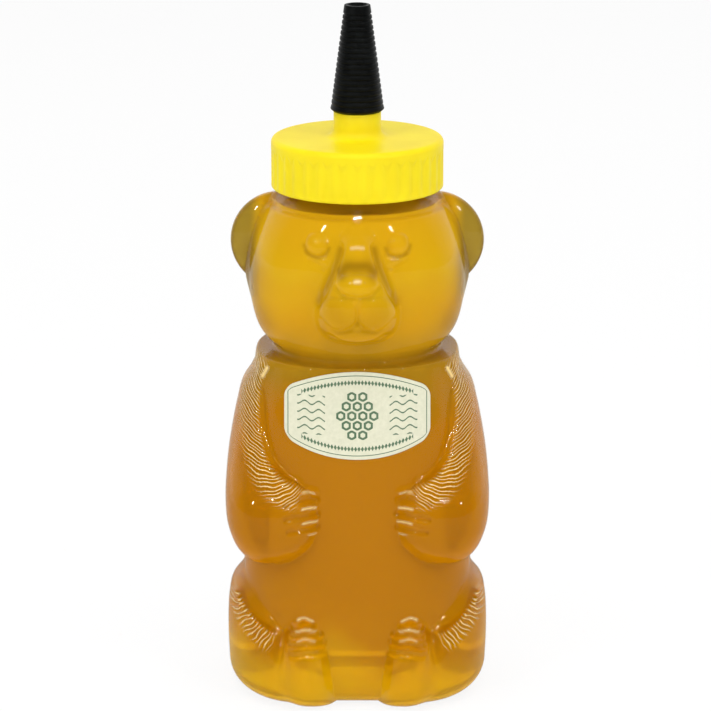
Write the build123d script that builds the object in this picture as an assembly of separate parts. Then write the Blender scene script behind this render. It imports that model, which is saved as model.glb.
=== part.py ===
from build123d import *
import os
from math import copysign, cos, hypot, pi, sin

# A squeezable bear-shaped honey bottle with a screw-on spout cap and a pull-off sealer tip.
# Millimetres. The origin is on the neck's axis, at the plane that the bottle stands on.
# +Z is up and the bear faces -Y.

# Bottle: one blow-moulded wall
wall = 0.9
torso_height = 83.5
torso_half_width = 27.8
torso_half_depth = 26.5
head_height = 38.3
head_half_width = 26.0
head_half_depth = 23.0
arm_half_width = 31.8
paw_reach = 30.0
leg_height = 29.0
leg_half_width = 31.6
leg_reach = 26.8
foot_height = 22.0
foot_reach = 30.4
foot_offset = 12.0
foot_half_width = 6.9
push_up_radius = 17.0
push_up_depth = 2.5

# Face and ears
ear_radius = 11.9
ear_thickness = 8.8
ear_offset = 18.6
ear_set_back = 2.5
ear_rise = 25.5
snout_height = 29.0
snout_half_width = 9.8
snout_reach = 31.6
snout_root = 12.0
nose_half_width = 5.2
nose_half_height = 2.9
nose_thickness = 4.4
eye_radius = 2.6
eye_thickness = 2.6
eye_offset = 9.5
eye_rise = 29.7

# Screw neck, a wide single-start finish
neck_radius = 17.45
neck_height = 10.2
neck_root = 4.0
neck_bore_radius = 15.0
thread_radius = 18.65
thread_pitch = 25.4 / 6
thread_turns = 1.25
thread_root_width = 2.3
thread_crest_width = 1.0
thread_top_gap = 2.0
thread_overlap = 0.35

# Cap, liner and spout
cap_radius = 20.5
cap_height = 12.1
cap_plate = 1.6
cap_edge_radius = 1.3
cap_thread_radial_gap = 0.25
cap_thread_turns = 1.25
rib_count = 36
rib_groove_depth = 0.35
rib_groove_radius = 2.4
rib_top_gap = 2.2
liner_thickness = 1.1
liner_hole_radius = 8.0
liner_edge_gap = 0.4
collar_radius = 5.63
collar_height = 6.2
collar_fillet = 2.2
spout_base_radius = 5.0
spout_tip_radius = 2.0
spout_length = 21.7
spout_bore_base_radius = 4.3
spout_bore_tip_radius = 1.25

# Sealer tip
tip_length = 25.4
tip_base_radius = 6.4
tip_top_radius = 3.1
tip_fit_gap = 0.06
tip_end_gap = 0.5
tip_chamfer = 0.65
tip_ring_count = 18
tip_ring_pitch = 1.27
tip_ring_depth = 0.22
tip_groove_width = 0.76
tip_ring_top_gap = 2.2
tip_dish_radius = 2.35
tip_dish_depth = 1.0

# Contents and label
headspace = 2.2
film_gap = 0.05
label_width = 34.6
label_height = 20.6
label_side_height = 11.4
label_corner_radius = 2.2
label_drop = 11.0
label_thickness = 0.15
label_seat_gap = 0.02

# Overrun that lets a cutting solid pass the face that it cuts
overrun = 1.0

# The moulded forms flow into one another over this depth
blend = 2.0
heel_radius = 3.0

# How finely the forms are sampled
outline_points = 60
body_levels = 34
head_levels = 20
lens_points = 8
search_steps = 30
steepest_side = 1.6

# Cross-sections from the bottom up, as shares of the sizes of the form that they shape.
# The last number is the squareness of the section: 2 is an ellipse, more is squarer.
# Torso and head: height, half width, half depth, squareness
torso_shares = [
    (0.00, 0.990, 0.970, 2.90),
    (0.10, 1.000, 0.985, 2.80),
    (0.20, 1.000, 0.988, 2.70),
    (0.40, 0.993, 0.998, 2.55),
    (0.50, 0.990, 1.000, 2.50),
    (0.60, 0.985, 0.995, 2.50),
    (0.70, 0.972, 0.975, 2.45),
    (0.80, 0.950, 0.940, 2.45),
    (0.90, 0.916, 0.890, 2.40),
    (1.00, 0.878, 0.838, 2.40),
]
head_shares = [
    (-0.130, 0.745, 0.815, 2.00),
    (-0.020, 0.746, 0.816, 2.00),
    (0.030, 0.775, 0.842, 2.00),
    (0.080, 0.850, 0.895, 2.08),
    (0.160, 0.922, 0.945, 2.15),
    (0.270, 0.970, 0.980, 2.20),
    (0.390, 0.996, 0.998, 2.20),
    (0.520, 0.996, 1.000, 2.20),
    (0.650, 0.965, 0.985, 2.20),
    (0.780, 0.908, 0.945, 2.15),
    (0.890, 0.830, 0.885, 2.10),
    (1.000, 0.710, 0.785, 2.00),
]
# Limbs and snout: height, outer edge, inner edge, front, back, squareness
arm_shares = [
    (0.384, 0.790, 0.560, -0.62, 0.35, 2.3),
    (0.400, 0.865, 0.430, -0.80, 0.42, 2.5),
    (0.430, 0.925, 0.330, -0.91, 0.48, 2.8),
    (0.480, 0.968, 0.250, -0.98, 0.53, 3.0),
    (0.540, 0.993, 0.225, -1.00, 0.55, 3.2),
    (0.600, 1.000, 0.225, -0.99, 0.55, 3.2),
    (0.640, 0.996, 0.260, -0.94, 0.55, 3.0),
    (0.680, 0.988, 0.350, -0.82, 0.55, 2.6),
    (0.720, 0.975, 0.430, -0.69, 0.54, 2.4),
    (0.780, 0.948, 0.470, -0.59, 0.52, 2.2),
    (0.840, 0.915, 0.490, -0.52, 0.49, 2.2),
    (0.900, 0.870, 0.490, -0.45, 0.45, 2.2),
    (0.945, 0.780, 0.500, -0.34, 0.34, 2.2),
]
leg_shares = [
    (0.00, 0.985, -0.060, -1.000, 0.80, 2.1),
    (0.20, 0.992, -0.040, -1.010, 0.83, 2.1),
    (0.40, 1.000, 0.080, -0.980, 0.80, 2.1),
    (0.60, 1.000, 0.260, -0.890, 0.72, 2.1),
    (0.76, 0.990, 0.400, -0.745, 0.62, 2.1),
    (0.88, 0.960, 0.530, -0.560, 0.48, 2.2),
    (1.00, 0.850, 0.620, -0.280, 0.26, 2.2),
]
foot_shares = [
    (0.00, 0.98, -0.98, -0.975, -0.34, 2.4),
    (0.20, 1.00, -1.00, -1.000, -0.34, 2.4),
    (0.40, 0.98, -0.94, -0.998, -0.34, 2.3),
    (0.60, 0.93, -0.84, -0.985, -0.36, 2.3),
    (0.80, 0.80, -0.68, -0.950, -0.42, 2.2),
    (0.92, 0.60, -0.48, -0.900, -0.50, 2.2),
    (1.00, 0.36, -0.26, -0.830, -0.58, 2.2),
]
snout_shares = [
    (0.00, 0.36, -0.36, -0.640, 1.0, 2.1),
    (0.05, 0.70, -0.70, -0.820, 1.0, 2.1),
    (0.13, 0.92, -0.92, -0.915, 1.0, 2.1),
    (0.24, 1.00, -1.00, -0.962, 1.0, 2.1),
    (0.36, 0.97, -0.97, -0.982, 1.0, 2.1),
    (0.49, 0.87, -0.87, -0.990, 1.0, 2.1),
    (0.62, 0.72, -0.72, -0.965, 1.0, 2.1),
    (0.75, 0.57, -0.57, -0.880, 1.0, 2.1),
    (0.88, 0.43, -0.43, -0.770, 1.0, 2.1),
    (1.00, 0.30, -0.30, -0.620, 1.0, 2.1),
]
snout_bottom_share = 0.115
nose_height_share = 0.58

# Heights and places worked out from the sizes above
head_top = torso_height + head_height
mouth_height = head_top + neck_height
cap_top = mouth_height + liner_thickness + cap_plate
cap_bottom = cap_top - cap_height
cap_ceiling = cap_top - cap_plate
cap_bore_radius = thread_radius + cap_thread_radial_gap
collar_top = cap_top + collar_height
spout_top = collar_top + spout_length
tip_top = collar_top + tip_length
thread_rise = thread_pitch * thread_turns
thread_start = mouth_height - thread_top_gap - thread_rise
snout_bottom = torso_height + head_height * snout_bottom_share
ear_height = torso_height + ear_rise
eye_height = torso_height + eye_rise
fill_height = head_top - headspace
label_centre_height = torso_height - label_drop


def share_row(shares, rise):
    """The table's values at a height, on a smooth curve through its rows; none outside it."""
    if not shares[0][0] <= rise <= shares[-1][0]:
        return None
    upper = min(number for number, row in enumerate(shares) if row[0] >= rise and number)
    lower = upper - 1
    below, above = shares[max(lower - 1, 0)], shares[min(upper + 1, len(shares) - 1)]
    start, end = shares[lower], shares[upper]
    gap = end[0] - start[0]
    t = (rise - start[0]) / gap
    values = []
    for first, v0, v1, last in zip(below[1:], start[1:], end[1:], above[1:]):
        slope_0 = (v1 - first) / (end[0] - below[0]) * gap
        slope_1 = (last - v0) / (above[0] - start[0]) * gap
        values.append((2 * t ** 3 - 3 * t ** 2 + 1) * v0 + (t ** 3 - 2 * t ** 2 + t) * slope_0
                      + (3 * t ** 2 - 2 * t ** 3) * v1 + (t ** 3 - t ** 2) * slope_1)
    return values


def centred_reach(half_width, half_depth, squareness, turn):
    """How far a superellipse on the axis reaches in the direction of the turn."""
    return (abs(cos(turn) / half_width) ** squareness
            + abs(sin(turn) / half_depth) ** squareness) ** (-1 / squareness)


def side_reach(left, right, front, back, squareness, turn):
    """How far a superellipse beside the axis reaches in that direction; 0 if it isn't met."""
    half_width, half_depth = (right - left) / 2, (back - front) / 2
    middle_x, middle_y = (left + right) / 2, (front + back) / 2

    def outside(reach):
        return (abs((reach * cos(turn) - middle_x) / half_width) ** squareness
                + abs((reach * sin(turn) - middle_y) / half_depth) ** squareness - 1)

    near, far = 0, 2 * (abs(middle_x) + abs(middle_y) + half_width + half_depth)
    low, high = near, far
    for _ in range(search_steps):
        third = (high - low) / 3
        if outside(low + third) < outside(high - third):
            high = high - third
        else:
            low = low + third
    if outside(low) > 0:
        return 0
    near = low
    for _ in range(search_steps):
        middle = (near + far) / 2
        if outside(middle) > 0:
            far = middle
        else:
            near = middle
    return near


def blended(first, second):
    """The larger of two reaches, rounded where the two forms meet."""
    nearness = max(0, 1 - abs(first - second) / blend)
    return max(first, second) + blend * nearness ** 2 / 4


def limb_reach(shares, base, height, middle, half_width, front_reach, back_reach, level, turn):
    row = share_row(shares, (level - base) / height)
    if not row:
        return 0
    outer, inner, front, back, squareness = row
    return side_reach(middle + half_width * inner, middle + half_width * outer,
                      front_reach * front, back_reach * back, squareness, turn)


def body_reach(level, turn):
    """The body's outline: torso, arms, legs and feet, rounded at the heel."""
    level = min(max(level, 0), torso_height)
    turn = turn if cos(turn) >= 0 else pi - turn
    width, depth, squareness = share_row(torso_shares, level / torso_height)
    reach = centred_reach(torso_half_width * width, torso_half_depth * depth, squareness, turn)
    for limb in ((arm_shares, 0, torso_height, 0, arm_half_width, paw_reach, paw_reach),
                 (leg_shares, 0, leg_height, 0, leg_half_width, leg_reach, leg_reach),
                 (foot_shares, 0, foot_height, foot_offset, foot_half_width, foot_reach, foot_reach)):
        reach = blended(reach, limb_reach(*limb, level, turn))
    under = max(0, heel_radius - level)
    return reach - heel_radius + (heel_radius ** 2 - under ** 2) ** 0.5


def head_reach(level, turn):
    """The head's outline with its snout."""
    turn = turn if cos(turn) >= 0 else pi - turn
    rise = min(max((level - torso_height) / head_height, head_shares[0][0]), head_shares[-1][0])
    width, depth, squareness = share_row(head_shares, rise)
    reach = centred_reach(head_half_width * width, head_half_depth * depth, squareness, turn)
    snout = limb_reach(snout_shares, snout_bottom, snout_height, 0, snout_half_width,
                       snout_reach, -snout_root, level, turn)
    return blended(reach, snout)


def drawn_in(reach_of, inset, level, turn):
    """The outline moved inwards by the inset, measured square to the surface."""
    reach = reach_of(level, turn)
    if not inset:
        return reach
    step = pi / outline_points
    rise = (reach_of(level + wall, turn) - reach_of(level - wall, turn)) / (2 * wall)
    swing = (reach_of(level, turn + step) - reach_of(level, turn - step)) / (2 * step * reach)
    return reach - inset * min(hypot(1, rise, swing), steepest_side)


def skin(reach_of, bottom, top, levels, inset):
    """One smooth solid from the bottom level to the top."""
    sections = []
    steps = [step / outline_points for step in range(outline_points + 1)]
    for step in range(levels + 1):
        level = bottom + (top - bottom) * step / levels
        points = []
        for point in range(outline_points):
            turn = 2 * pi * point / outline_points
            reach = drawn_in(reach_of, inset, level, turn)
            points.append(Vector(reach * cos(turn), reach * sin(turn), level))
        sections.append(Wire([Edge.make_spline(points, periodic=True, parameters=steps)]))
    return Solid.make_loft(sections)


def lens(radius, thickness, squareness, inset):
    """A rounded disc that faces -Y."""
    radius, half_thickness = radius - inset, thickness / 2 - inset
    points = []
    for step in range(lens_points + 1):
        turn = pi / 2 * step / lens_points
        points.append(Vector(radius * cos(turn) ** (2 / squareness),
                             half_thickness * sin(turn) ** (2 / squareness)))
    rim = Edge.make_spline([Vector(p.X, -p.Y) for p in reversed(points[1:])] + points)
    edge = Wire([rim, Edge.make_line(points[-1], Vector(0, -half_thickness))])
    return revolve(Face(edge), Axis.Y)


def both_sides(solid):
    """The form and its mirror image on the other side of the bear."""
    return [solid, mirror(solid, Plane.YZ)]


def body(inset):
    return skin(body_reach, inset, torso_height - inset, body_levels, inset)


def head(inset):
    buried = torso_height + head_height * head_shares[0][0]
    return skin(head_reach, buried, head_top - inset, head_levels, inset)


def ear(inset):
    return Pos(ear_offset, ear_set_back, ear_height) * lens(ear_radius, ear_thickness, 2.4, inset)


def nose():
    height = snout_bottom + snout_height * nose_height_share
    oval = scale(lens(nose_half_height, nose_thickness, 2.3, 0), (nose_half_width / nose_half_height, 1, 1))
    return Pos(0, -snout_reach + nose_thickness / 3, height) * oval


def eye():
    across = eye_offset / head_half_width
    face = head_half_depth * (1 - across ** 2) ** 0.5
    return Pos(eye_offset, -face, eye_height) * lens(eye_radius, eye_thickness, 2.2, 0)


def bear_form(inset):
    """The bear without its neck: the outer form, or with an inset the space inside its wall."""
    return body(inset).fuse(head(inset), *both_sides(ear(inset))) - push_up(inset)


def push_up(inset):
    """The dome that is pressed up into the middle of the base."""
    radius = (push_up_radius ** 2 + push_up_depth ** 2) / (2 * push_up_depth)
    return Pos(0, 0, push_up_depth - radius) * Sphere(radius + inset)


def column(radius, bottom, top):
    return Pos(0, 0, bottom) * Cylinder(radius, top - bottom, align=(Align.CENTER, Align.CENTER, Align.MIN))


def screw_thread(root_radius, crest_radius, start, turns, turned):
    """A helical ridge of tapered section, from the root's radius to the crest's."""
    path = Helix(thread_pitch, thread_pitch * turns, root_radius)
    reach = crest_radius - root_radius
    sunk = copysign(thread_overlap, reach)
    half_root, half_crest = thread_root_width / 2, thread_crest_width / 2
    with BuildSketch(Plane(path @ 0, x_dir=(1, 0, 0), z_dir=path % 0)) as ridge:
        Polygon((-sunk, -half_root), (0, -half_root), (reach, -half_crest),
                (reach, half_crest), (0, half_root), (-sunk, half_root), align=None)
    swept = sweep(ridge.sketch, path, is_frenet=True)
    return Pos(0, 0, start) * Rot(0, 0, turned) * swept


def bear_bottle():
    """The bottle: bear, screw neck and thread outside, and the space within the wall cut out."""
    outside = bear_form(0).fuse(nose(), *both_sides(eye()))
    outside = outside.fuse(column(neck_radius, head_top - neck_root, mouth_height))
    outside = outside.fuse(screw_thread(neck_radius, thread_radius, thread_start, thread_turns, 0))
    inside = bear_form(wall)
    bore = column(neck_bore_radius, head_top - neck_root - wall, mouth_height + overrun)
    return outside - inside - bore


def honey_fill():
    """The honey, up to its level, a film's width inside the wall."""
    inside = bear_form(wall + film_gap)
    above = column(cap_radius + ear_radius, fill_height, mouth_height)
    return inside - above


def front_label():
    """A paper label on the belly, arched above and below."""
    half_width, half_height, half_side = label_width / 2, label_height / 2, label_side_height / 2
    with BuildSketch(Plane.XZ) as outline:
        with BuildLine():
            ThreePointArc((-half_width, half_side), (0, half_height), (half_width, half_side))
            Line((half_width, half_side), (half_width, -half_side))
            ThreePointArc((half_width, -half_side), (0, -half_height), (-half_width, -half_side))
            Line((-half_width, -half_side), (-half_width, half_side))
        make_face()
        fillet(outline.vertices(), label_corner_radius)
    patch = extrude(outline.sketch, torso_half_depth + overrun)
    patch = Pos(0, 0, label_centre_height) * patch
    seat = label_seat_gap
    return (body(-seat - label_thickness) & patch) - body(-seat) - body(0)


def rib_grooves():
    """Upright grooves round the cap's skirt, which leave the grip ribs between them."""
    reach = cap_radius + rib_groove_radius - rib_groove_depth
    groove = Pos(reach, 0, 0) * column(rib_groove_radius, cap_bottom - overrun, cap_top - rib_top_gap)
    return [Rot(0, 0, 360 * number / rib_count) * groove for number in range(rib_count)]


def spout_cap():
    """Screw cap with its spout: a ribbed cup, a collar, a hollow cone and an inner thread."""
    with BuildSketch(Plane.XZ) as profile:
        with BuildLine():
            Polyline((0, cap_bottom), (cap_radius, cap_bottom), (cap_radius, cap_top),
                     (collar_radius, cap_top), (collar_radius, collar_top),
                     (spout_base_radius, collar_top), (spout_tip_radius, spout_top),
                     (0, spout_top), (0, cap_bottom))
        make_face()
        edge = profile.vertices().sort_by_distance((cap_radius, cap_top))[0]
        fillet(edge, cap_edge_radius)
        root = profile.vertices().sort_by_distance((collar_radius, cap_top))[0]
        fillet(root, collar_fillet)
    shape = revolve(profile.sketch, Axis.Z)
    shape = shape - rib_grooves()
    shape = shape - column(cap_bore_radius, cap_bottom - overrun, cap_ceiling)
    drop = overrun * (spout_bore_base_radius - spout_bore_tip_radius) / (spout_top - cap_ceiling)
    bore = Cone(spout_bore_base_radius + drop, spout_bore_tip_radius - drop,
                spout_top - cap_ceiling + 2 * overrun, align=(Align.CENTER, Align.CENTER, Align.MIN))
    shape = shape - Pos(0, 0, cap_ceiling - overrun) * bore
    # The cap's thread lies half a pitch under the neck's, so the two mesh with the same gap both sides.
    lowest = cap_bottom + thread_root_width / 2
    turned = 360 * (lowest - thread_start) / thread_pitch + 180
    return shape.fuse(screw_thread(cap_bore_radius, neck_radius + cap_thread_radial_gap,
                                   lowest, cap_thread_turns, turned))


def cap_liner():
    """The soft ring that seals the cap against the bottle's mouth."""
    ring = column(cap_bore_radius - liner_edge_gap, mouth_height, cap_ceiling)
    return ring - column(liner_hole_radius, mouth_height - overrun, cap_ceiling + overrun)


def tip_profile():
    """Half of the sealer tip in section: ringed outside, a cone and a dished end inside."""
    slope = (tip_base_radius - tip_top_radius) / tip_length
    points = [(spout_base_radius + tip_fit_gap, collar_top),
              (tip_base_radius - tip_chamfer, collar_top), (tip_base_radius, collar_top + tip_chamfer)]
    first = tip_top - tip_ring_top_gap - tip_ring_pitch * (tip_ring_count - 1)
    for ring in range(tip_ring_count):
        for step, depth in ((-tip_groove_width / 2, 0), (0, tip_ring_depth), (tip_groove_width / 2, 0)):
            height = first + tip_ring_pitch * ring + step
            points.append((tip_base_radius - slope * (height - collar_top) - depth, height))
    cavity_top = spout_top + tip_end_gap
    points += [(tip_top_radius, tip_top), (tip_dish_radius, tip_top),
               (tip_dish_radius - tip_dish_depth / 2, tip_top - tip_dish_depth),
               (0, tip_top - tip_dish_depth), (0, cavity_top),
               (spout_tip_radius + tip_fit_gap, cavity_top), (spout_tip_radius + tip_fit_gap, spout_top)]
    return points


def sealer_tip():
    """The pull-off tip that covers the spout."""
    with BuildSketch(Plane.XZ) as profile:
        with BuildLine():
            Polyline(*tip_profile(), close=True)
        make_face()
    return revolve(profile.sketch, Axis.Z)


os.makedirs("parts", exist_ok=True)
for make in (bear_bottle, honey_fill, front_label, spout_cap, cap_liner, sealer_tip):
    export_step(make(), "parts/" + make.__name__ + ".step")
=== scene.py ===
from math import cos, hypot, pi, sin, tau

import bpy
import numpy as np
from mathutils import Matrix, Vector


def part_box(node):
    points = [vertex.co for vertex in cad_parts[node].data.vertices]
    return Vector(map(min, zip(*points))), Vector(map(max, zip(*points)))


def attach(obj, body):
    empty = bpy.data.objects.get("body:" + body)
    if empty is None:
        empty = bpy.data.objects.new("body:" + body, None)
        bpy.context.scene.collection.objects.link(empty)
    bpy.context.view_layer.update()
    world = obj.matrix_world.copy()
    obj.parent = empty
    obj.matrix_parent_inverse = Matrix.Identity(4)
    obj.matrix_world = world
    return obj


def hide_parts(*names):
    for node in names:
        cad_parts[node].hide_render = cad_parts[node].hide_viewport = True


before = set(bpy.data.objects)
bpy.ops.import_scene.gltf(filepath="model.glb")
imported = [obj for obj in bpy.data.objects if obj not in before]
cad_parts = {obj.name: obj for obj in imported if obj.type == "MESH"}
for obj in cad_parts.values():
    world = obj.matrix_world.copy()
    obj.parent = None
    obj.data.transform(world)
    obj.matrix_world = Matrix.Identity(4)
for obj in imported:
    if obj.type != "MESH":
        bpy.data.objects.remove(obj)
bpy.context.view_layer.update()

# A honey-filled bear bottle with its screw-on spout cap. Sizes are in millimetres until a mesh is
# made; the bear faces -Y and stands on z = 0, with its neck on the Z axis.
MM = 0.001

# Sizes read from the frame
CAP_LOW, CAP_HIGH = (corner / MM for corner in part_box("spout_cap"))
TIP_LOW, TIP_HIGH = (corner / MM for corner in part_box("sealer_tip"))
LINER_LOW, LINER_HIGH = (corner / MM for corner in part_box("cap_liner"))
MOUTH_HEIGHT = LINER_LOW.z
FILL_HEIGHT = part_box("honey_fill")[1].z / MM

# Bear
TORSO_HEIGHT = 83.5
TORSO_HALF_WIDTH = 27.8
TORSO_HALF_DEPTH = 26.5
HEAD_HEIGHT = 38.3
HEAD_TOP = TORSO_HEIGHT + HEAD_HEIGHT
HEAD_HALF_WIDTH = 26.0
HEAD_HALF_DEPTH = 23.0
ARM_HALF_WIDTH = 31.8
PAW_REACH = 30.0
LEG_HEIGHT = 29.0
LEG_HALF_WIDTH = 31.6
LEG_REACH = 26.8
FOOT_HEIGHT = 22.0
FOOT_REACH = 30.4
FOOT_OFFSET = 12.0
FOOT_HALF_WIDTH = 6.9
SNOUT_HEIGHT = 29.0
SNOUT_BOTTOM = 89.06
SNOUT_HALF_WIDTH = 9.8
SNOUT_REACH = 31.6
SNOUT_ROOT = 12.0
EAR_RADIUS = 11.9
EAR_THICKNESS = 8.8
EAR_OFFSET = 18.6
EAR_SET_BACK = 2.5
EAR_HEIGHT = 109.0
EAR_SQUARENESS = 2.4
EAR_FLARE = 0.9
EAR_FLARE_WIDTH = 2.6
PUSH_UP_RADIUS = 17.0
PUSH_UP_DEPTH = 2.5
BLEND = 2.0
HEEL_RADIUS = 6.0
SHOULDER_RADIUS = 0.7
CREASE_RADIUS = 0.9

# Neck and wall
NECK_RADIUS = 17.45
NECK_BORE_RADIUS = 15.0
NECK_ROUNDING = 0.4
NECK_RING_GAPS = (1.5, 1.0)  # from the neck's foot and from its rounding
BORE_OVERRUN = 1.0
WALL = 0.9
SKIN = 0.08  # where honey wets the wall, the two pass light as one, so the wall is drawn thin
SKIN_CHANGE = 1.5  # the height in which the wall gets thin, under the honey's level
HONEY_RIM_GAP = 0.3
THREAD_RADIUS = 18.65
THREAD_PITCH = 25.4 / 6
THREAD_TURNS = 1.25
THREAD_ROOT_WIDTH = 2.3
THREAD_CREST_WIDTH = 1.0
THREAD_TOP_GAP = 2.0
THREAD_START = MOUTH_HEIGHT - THREAD_TOP_GAP - THREAD_PITCH * THREAD_TURNS
THREAD_CLEARANCE = 0.25
THREAD_SUNK_SHARE = 0.3  # of the ridge's depth, inside its wall
THREAD_FADE_SHARE = 1 / 14  # of the ridge's length, at each end

# Cap and spout
CAP_RADIUS = CAP_HIGH.x
CAP_BOTTOM = CAP_LOW.z
CAP_CEILING = LINER_HIGH.z
CAP_PLATE = 1.6
CAP_TOP = CAP_CEILING + CAP_PLATE
CAP_EDGE_RADIUS = 1.3
CAP_BORE_RADIUS = THREAD_RADIUS + THREAD_CLEARANCE
CAP_BORE_CHAMFER = 0.3
CAP_MOUTH_CHAMFER = 0.25
CAP_RIM_POINTS = [(0.55, 0.0), (0.3, 0.06), (0.08, 0.28)]  # in from the side, up from the bottom
CAP_RIM_RADIUS = 0.55
CAP_PLATE_SHARES = (0.85, 0.7, 0.55)
RIB_COUNT = 36
RIB_DEPTH = 0.35
RIB_FULLNESS = 2.2
RIB_TOP_GAP = 2.2
RIB_FOOT = (0.4, 0.9)  # above the cap's bottom, where a rib starts and is whole
RIB_RUN_OUT = (1.6, 0.9)  # under the ribs' top, where a rib ends
RIB_ARCH = 1.5
COLLAR_RADIUS = 5.63
COLLAR_FILLET = 2.2
COLLAR_TOP = TIP_LOW.z
SPOUT_BASE_RADIUS = 5.0
SPOUT_TIP_RADIUS = 2.0
SPOUT_TOP = CAP_HIGH.z
SPOUT_BORE_BASE_RADIUS = 4.3
SPOUT_BORE_TIP_RADIUS = 1.25
SPOUT_CHAMFER = 0.15
SPOUT_CHAMFER_TAPER = 0.02  # how much wider the spout is at the chamfer's foot
SPOUT_BORE_CHAMFER = 0.12
SPOUT_BORE_SEAM = 0.2  # under the spout's top, where the cap's rings begin and end

# Sealer tip
TIP_BASE_RADIUS = TIP_HIGH.x
TIP_TOP_RADIUS = 3.1
TIP_TOP = TIP_HIGH.z
TIP_FIT_GAP = 0.06
TIP_END_GAP = 0.5
TIP_CHAMFER = 0.65
TIP_CHAMFER_POINT = (0.12, 0.7 * TIP_CHAMFER)  # in from the side, up from the bottom
TIP_ROUNDING = 0.2
TIP_INNER_RADIUS = 0.3  # of the smallest ring of its flat ends
RING_COUNT = 18
RING_PITCH = 1.27
RING_DEPTH = 0.3
RING_SHARPNESS = 1.5
RING_TOP_GAP = 2.2
DISH_RADIUS = 2.35
DISH_DEPTH = 1.0
DISH_CHAMFER = 0.15
DISH_TAPER = 0.45

# Label
LABEL_WIDTH = 34.6
LABEL_HEIGHT = 20.6
LABEL_SIDE_HEIGHT = 11.4
LABEL_CORNER_RADIUS = 2.2
LABEL_CENTRE_HEIGHT = 72.5
LABEL_THICKNESS = 0.15
LABEL_SEAT_GAP = 0.02
LABEL_END_SHARE = 0.9995  # of the half width, where the outermost columns stand

# How finely the meshes are divided
FRONT_COLUMNS = 520
BACK_COLUMNS = 220
LEVEL_STEP = 0.3
SEARCH_STEPS = 26
BELLY_STEPS = 8
LEAST_LENGTH = 1e-9  # keeps a normal of no length from dividing by zero
PUSH_UP_SHARES = np.linspace(0.04, 1, 18)
FLAT_SHARES = (0.25, 0.5, 0.75)
HEEL_STEPS, SHOULDER_STEPS, CREASE_STEPS = 14, 7, 6
NECK_STEPS, CAP_EDGE_STEPS, TIP_STEPS = 5, 9, 5
HONEY_TOP_SHARES = (1.0, 0.985, 0.95, 0.85, 0.6, 0.3, 0.05)
LABEL_COLUMNS, LABEL_ROWS = 150, 90
THREAD_STEPS_A_TURN = 160
RIB_COLUMNS = 16
RIB_LEVELS, RIB_RUN_OUT_LEVELS = 12, 16
RIB_LEVEL_GAP = 0.1
RING_LEVELS = 10
TIP_COLUMNS = 96

# Cross-sections from the bottom up, as shares of the sizes of the form that they shape.
# Torso and head: height, half width, half depth, squareness
TORSO_SHARES = [
    (0.00, 0.990, 0.970, 2.90),
    (0.10, 1.000, 0.985, 2.80),
    (0.20, 1.000, 0.988, 2.70),
    (0.40, 0.993, 0.998, 2.55),
    (0.50, 0.990, 1.000, 2.50),
    (0.60, 0.985, 0.995, 2.50),
    (0.70, 0.972, 0.975, 2.45),
    (0.80, 0.950, 0.940, 2.45),
    (0.90, 0.916, 0.890, 2.40),
    (1.00, 0.878, 0.838, 2.40),
]
HEAD_SHARES = [
    (-0.130, 0.745, 0.815, 2.00),
    (-0.020, 0.746, 0.816, 2.00),
    (0.030, 0.775, 0.842, 2.00),
    (0.080, 0.850, 0.895, 2.08),
    (0.160, 0.922, 0.945, 2.15),
    (0.270, 0.970, 0.980, 2.20),
    (0.390, 0.996, 0.998, 2.20),
    (0.520, 0.996, 1.000, 2.20),
    (0.650, 0.965, 0.985, 2.20),
    (0.780, 0.908, 0.945, 2.15),
    (0.890, 0.830, 0.885, 2.10),
    (1.000, 0.710, 0.785, 2.00),
]
# Limbs and snout: height, outer edge, inner edge, front, back, squareness
ARM_SHARES = [
    (0.412, 0.790, 0.560, -0.62, 0.35, 2.3),
    (0.428, 0.865, 0.430, -0.80, 0.42, 2.5),
    (0.456, 0.925, 0.330, -0.91, 0.48, 2.8),
    (0.496, 0.968, 0.250, -0.98, 0.53, 3.0),
    (0.540, 0.993, 0.225, -1.00, 0.55, 3.2),
    (0.600, 1.000, 0.225, -0.99, 0.55, 3.2),
    (0.640, 0.996, 0.260, -0.94, 0.55, 3.0),
    (0.680, 0.988, 0.350, -0.82, 0.55, 2.6),
    (0.720, 0.975, 0.430, -0.69, 0.54, 2.4),
    (0.780, 0.948, 0.470, -0.59, 0.52, 2.2),
    (0.840, 0.915, 0.490, -0.52, 0.49, 2.2),
    (0.900, 0.870, 0.490, -0.45, 0.45, 2.2),
    (0.945, 0.780, 0.500, -0.34, 0.34, 2.2),
]
LEG_SHARES = [
    (0.00, 0.985, -0.060, -1.000, 0.80, 2.1),
    (0.20, 0.992, -0.040, -1.010, 0.83, 2.1),
    (0.40, 1.000, 0.080, -0.980, 0.80, 2.1),
    (0.60, 1.000, 0.260, -0.890, 0.72, 2.1),
    (0.76, 0.990, 0.400, -0.745, 0.62, 2.1),
    (0.88, 0.960, 0.530, -0.560, 0.48, 2.2),
    (1.00, 0.850, 0.620, -0.280, 0.26, 2.2),
]
FOOT_SHARES = [
    (0.00, 0.98, -0.98, -0.975, -0.34, 2.4),
    (0.20, 1.00, -1.00, -1.000, -0.34, 2.4),
    (0.40, 0.98, -0.94, -0.998, -0.34, 2.3),
    (0.60, 0.93, -0.84, -0.985, -0.36, 2.3),
    (0.80, 0.80, -0.68, -0.950, -0.42, 2.2),
    (0.92, 0.60, -0.48, -0.900, -0.50, 2.2),
    (1.00, 0.36, -0.26, -0.830, -0.58, 2.2),
]
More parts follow.
